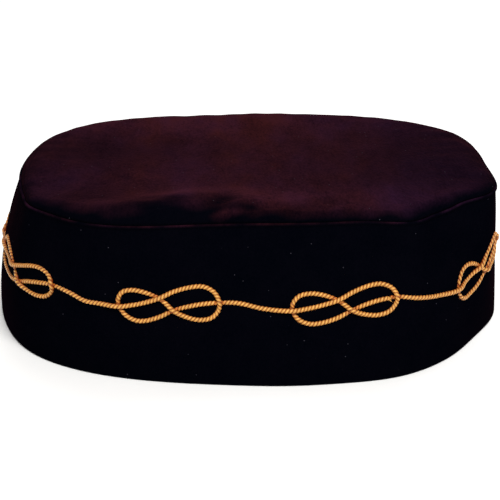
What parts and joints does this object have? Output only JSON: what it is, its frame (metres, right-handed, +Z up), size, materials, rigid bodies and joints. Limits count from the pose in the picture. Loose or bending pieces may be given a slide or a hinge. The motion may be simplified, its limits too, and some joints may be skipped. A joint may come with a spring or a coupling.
{
  "type": "masonic crown cap",
  "caption": "Soft oval velvet crown cap with a puffed top panel, a side band open below for the head, and a gold twisted cord sewn round it in love knots.",
  "frame": {"origin": "middle of the cap's box on the surface that its rim stands on", "axes": "+X along the cap's length, to the right in the picture; +Y from the front to the back; +Z up through the top panel"},
  "size_m": [0.2098, 0.1746, 0.0642],
  "materials": {
    "velvet": "short-pile cotton velvet, aubergine that looks near black face on and maroon at a slant",
    "gold_cord": "gold two-ply twisted cord, soft lustre"
  },
  "bodies": {
    "root": {"side_band": "velvet", "top_panel": "velvet", "cord_trim": "gold_cord"}
  },
  "joints": []
}
